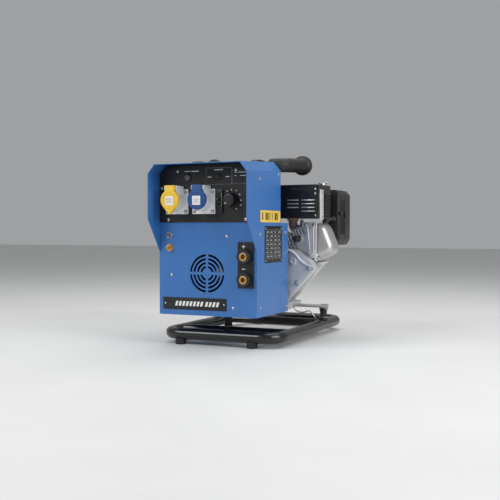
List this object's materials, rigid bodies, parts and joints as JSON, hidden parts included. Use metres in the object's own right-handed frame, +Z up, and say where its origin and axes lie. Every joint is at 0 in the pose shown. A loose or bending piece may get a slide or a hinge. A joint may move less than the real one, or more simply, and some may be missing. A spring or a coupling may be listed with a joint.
{
  "type": "engine driven welder",
  "caption": "Portable engine driven welder: blue canopy with control panel, lidded outlets and weld sockets, open engine behind it, tubular base frame and rear carry handle.",
  "frame": {"origin": "on the floor at the centre of the whole welder's footprint box", "axes": "+X to the right seen from the control panel side, +Y from the front panel towards the engine, +Z up"},
  "size_m": [0.4322, 0.664, 0.5417],
  "materials": {
    "blue_paint": "satin powder coat",
    "black_tube_paint": "semi-gloss powder coat",
    "black_plate": "satin",
    "black_plastic": "matte",
    "grey_plastic": "satin",
    "yellow_plastic": "satin",
    "blue_plastic": "satin",
    "button_grey": "matte",
    "brass": "machined",
    "zinc_steel": "zinc plated",
    "black_rubber": "matte",
    "cast_aluminium": "as cast",
    "stamped_cover": "silver paint",
    "muffler_steel": "aluminised",
    "heat_tinted_steel": "heat tinted",
    "lamination_steel": "dipped laminations",
    "machined_steel": "machined",
    "ceramic_white": "glazed"
  },
  "bodies": {
    "frame": {"base_loop": "black_tube_paint", "cross_tubes": "black_tube_paint", "rubber_feet": "black_rubber", "rubber_mounts": "black_rubber", "engine_rail": "zinc_steel", "rail_bolts": "zinc_steel", "hood": "blue_paint", "front_panel": "blue_paint", "rear_bulkhead": "blue_paint", "bottom_tray": "blue_paint", "control_panel": "black_plate", "name_plate": "black_plate", "weld_socket_plate": "black_plate", "panel_screws": "zinc_steel", "yellow_socket_housing": "grey_plastic", "yellow_socket_insert": "yellow_plastic", "blue_socket_housing": "grey_plastic", "blue_socket_insert": "blue_plastic", "lid_hinge_pins": "zinc_steel", "breaker_body": "black_plastic", "current_potentiometer": "zinc_steel", "earth_stud": "brass", "weld_socket_bodies": "black_plastic", "weld_socket_inserts": "brass", "carry_handle": "black_tube_paint", "handle_grips": "black_rubber", "handle_clamps": "black_tube_paint", "inverter_module": "cast_aluminium", "alternator_stator": "lamination_steel", "crankcase": "cast_aluminium", "cylinder": "cast_aluminium", "cylinder_head": "cast_aluminium", "rocker_cover": "stamped_cover", "spark_plug": "ceramic_white", "blower_housing": "black_plate", "recoil_cover": "black_plate", "muffler_guard": "black_plate", "muffler": "muffler_steel", "exhaust_pipe": "heat_tinted_steel", "carburettor": "cast_aluminium", "air_cleaner": "black_plastic", "fuel_tank": "black_plate"},
    "crank_train": {"crankshaft": "machined_steel", "alternator_rotor": "lamination_steel", "cooling_fan": "black_plastic", "flywheel": "lamination_steel"},
    "yellow_lid": {"yellow_socket_lid": "yellow_plastic"},
    "blue_lid": {"blue_socket_lid": "blue_plastic"},
    "toggle": {"breaker_toggle": "black_plastic"},
    "knob": {"current_knob": "black_plastic"},
    "rocker": {"selector_rocker": "black_plastic"},
    "idle": {"idle_button": "button_grey"},
    "reset": {"reset_button": "button_grey"},
    "nut": {"earth_nut": "brass"},
    "pull_grip": {"starter_grip": "black_plastic"},
    "switch": {"engine_switch": "black_plastic"},
    "cap": {"fuel_cap": "black_plastic"},
    "plug": {"oil_plug": "black_plastic"},
    "choke": {"choke_lever": "black_plastic"},
    "piston_body": {"piston": "cast_aluminium"}
  },
  "joints": [
    {"name": "crank_spin", "type": "hinge", "parent": "frame", "child": "crank_train", "pos_m": [-0.0401, 0.061, 0.203], "axis": [0, 1, 0], "continuous": true},
    {"name": "yellow_lid_hinge", "type": "hinge", "parent": "frame", "child": "yellow_lid", "pos_m": [-0.1281, -0.307, 0.434], "axis": [-1, 0, 0], "range_deg": [0, 110], "stiffness_Nm_per_rad": 0.03, "springref_deg": -22.92},
    {"name": "blue_lid_hinge", "type": "hinge", "parent": "frame", "child": "blue_lid", "pos_m": [-0.0461, -0.307, 0.434], "axis": [-1, 0, 0], "range_deg": [0, 110], "stiffness_Nm_per_rad": 0.03, "springref_deg": -22.92},
    {"name": "breaker_throw", "type": "hinge", "parent": "frame", "child": "toggle", "pos_m": [0.0009, -0.272, 0.397], "axis": [1, 0, 0], "range_deg": [0, 40]},
    {"name": "current_turn", "type": "hinge", "parent": "frame", "child": "knob", "pos_m": [0.0359, -0.282, 0.4], "axis": [0, -1, 0], "range_deg": [0, 270]},
    {"name": "selector_tilt", "type": "hinge", "parent": "frame", "child": "rocker", "pos_m": [-0.0031, -0.267, 0.462], "axis": [0, 0, 1], "range_deg": [-24, 0]},
    {"name": "idle_press", "type": "slide", "parent": "frame", "child": "idle", "axis": [0, 1, 0], "range_m": [0, 0.004], "stiffness_N_per_m": 400},
    {"name": "reset_press", "type": "slide", "parent": "frame", "child": "reset", "axis": [0, 1, 0], "range_m": [0, 0.003], "stiffness_N_per_m": 400},
    {"name": "earth_nut_turn", "type": "hinge", "parent": "frame", "child": "nut", "pos_m": [-0.1551, -0.275, 0.272], "axis": [0, -1, 0], "continuous": true},
    {"name": "starter_pull", "type": "slide", "parent": "frame", "child": "pull_grip", "axis": [0, 0, 1], "range_m": [0, 0.45], "stiffness_N_per_m": 8},
    {"name": "switch_turn", "type": "hinge", "parent": "frame", "child": "switch", "pos_m": [0.0419, 0.197, 0.277], "axis": [0, 1, 0], "range_deg": [0, 45]},
    {"name": "fuel_cap_turn", "type": "hinge", "parent": "frame", "child": "cap", "pos_m": [-0.1051, 0.0585, 0.462], "axis": [0, 0, 1], "range_deg": [0, 90]},
    {"name": "oil_plug_turn", "type": "hinge", "parent": "frame", "child": "plug", "pos_m": [-0.1401, 0.061, 0.115], "axis": [-1, 0, 0], "continuous": true},
    {"name": "choke_swing", "type": "hinge", "parent": "frame", "child": "choke", "pos_m": [0.12494, 0.1728, 0.26968], "axis": [0, 1, 0], "range_deg": [0, 60]},
    {"name": "piston_stroke", "type": "slide", "parent": "frame", "child": "piston_body", "axis": [0.9272, 0, 0.3746], "range_m": [-0.029, 0.029]}
  ]
}
